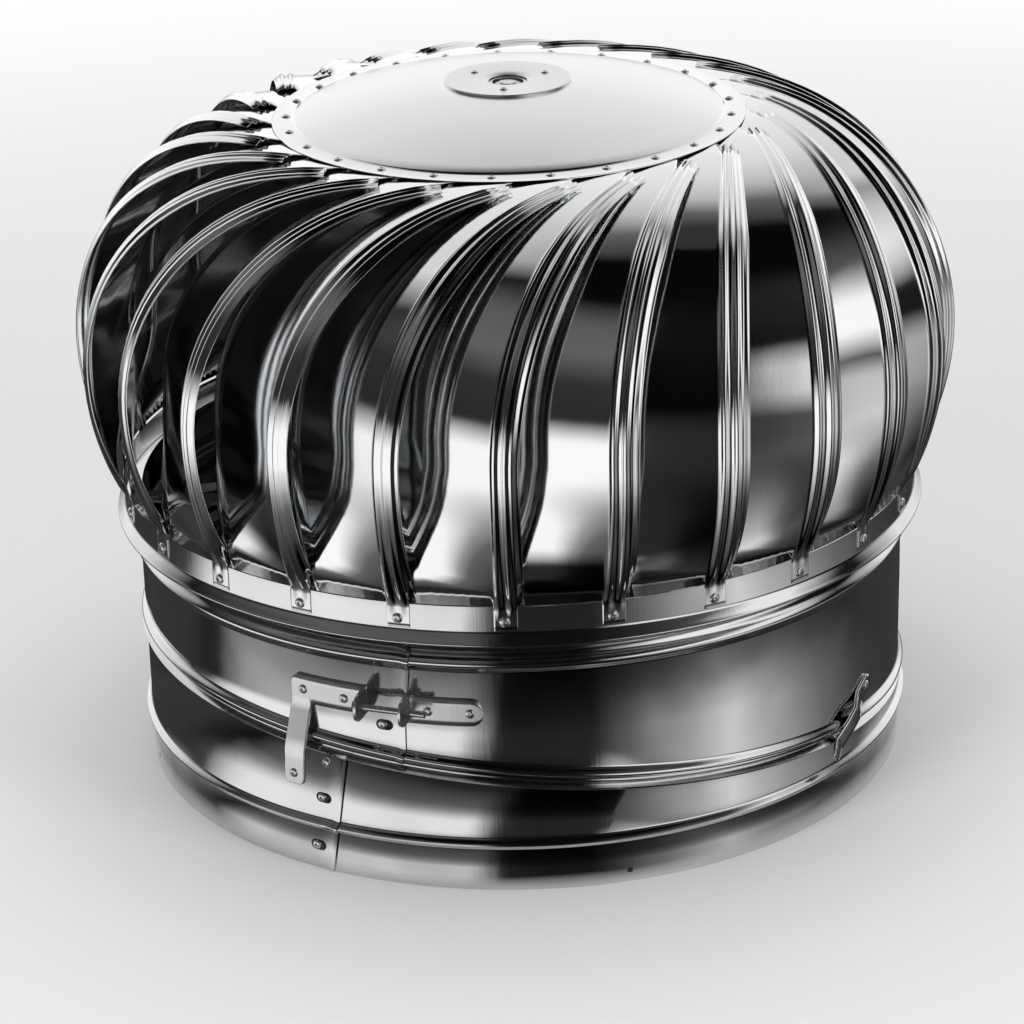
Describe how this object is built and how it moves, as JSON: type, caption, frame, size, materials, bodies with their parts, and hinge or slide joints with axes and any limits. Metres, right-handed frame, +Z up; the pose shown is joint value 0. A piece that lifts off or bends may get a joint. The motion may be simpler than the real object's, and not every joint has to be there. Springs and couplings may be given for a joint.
{
  "type": "roof turbine ventilator",
  "caption": "Round roof turbine ventilator with curved pressed vanes, a domed cap and a two-part swivel throat held by a clamp latch.",
  "frame": {"origin": "centre of the lower collar's open bottom end", "axes": "+Z up along the rotor's axis, -Y towards the front, where the clamp latch is a little left of the middle"},
  "size_m": [0.6776, 0.6773, 0.533],
  "materials": {
    "polished_steel": "mirror-polished stainless sheet",
    "satin_steel": "satin stainless sheet",
    "plain_steel": "plain bright steel"
  },
  "bodies": {
    "base": {"lower_collar": "polished_steel"},
    "throat": {"upper_collar": "polished_steel", "latch_left_plate": "satin_steel", "latch_right_plate": "satin_steel", "clamp_bolt": "plain_steel", "clamp_nut": "plain_steel", "retaining_clip": "satin_steel", "hub_spider": "plain_steel", "shaft": "plain_steel", "shaft_nuts": "plain_steel", "shaft_spacers": "plain_steel", "bearing_inner_races": "plain_steel"},
    "rotor": {"rotor_ring": "polished_steel", "cap": "polished_steel", "hub_plate": "satin_steel", "bearing_carriers": "plain_steel", "bearing_outer_races": "plain_steel", "vane_01": "polished_steel", "vane_02": "polished_steel", "vane_03": "polished_steel", "vane_04": "polished_steel", "vane_05": "polished_steel", "vane_06": "polished_steel", "vane_07": "polished_steel", "vane_08": "polished_steel", "vane_09": "polished_steel", "vane_10": "polished_steel", "vane_11": "polished_steel", "vane_12": "polished_steel", "vane_13": "polished_steel", "vane_14": "polished_steel", "vane_15": "polished_steel", "vane_16": "polished_steel", "vane_17": "polished_steel", "vane_18": "polished_steel", "vane_19": "polished_steel", "vane_20": "polished_steel", "vane_21": "polished_steel", "vane_22": "polished_steel", "vane_23": "polished_steel", "vane_24": "polished_steel", "vane_25": "polished_steel"}
  },
  "joints": [
    {"name": "throat_swivel", "type": "hinge", "parent": "base", "child": "throat", "pos_m": [0, 0, 0.089], "axis": [0.0961, 0.0258, 0.995], "continuous": true},
    {"name": "rotor_spin", "type": "hinge", "parent": "throat", "child": "rotor", "pos_m": [0, 0, 0.237], "axis": [0, 0, 1], "continuous": true}
  ]
}
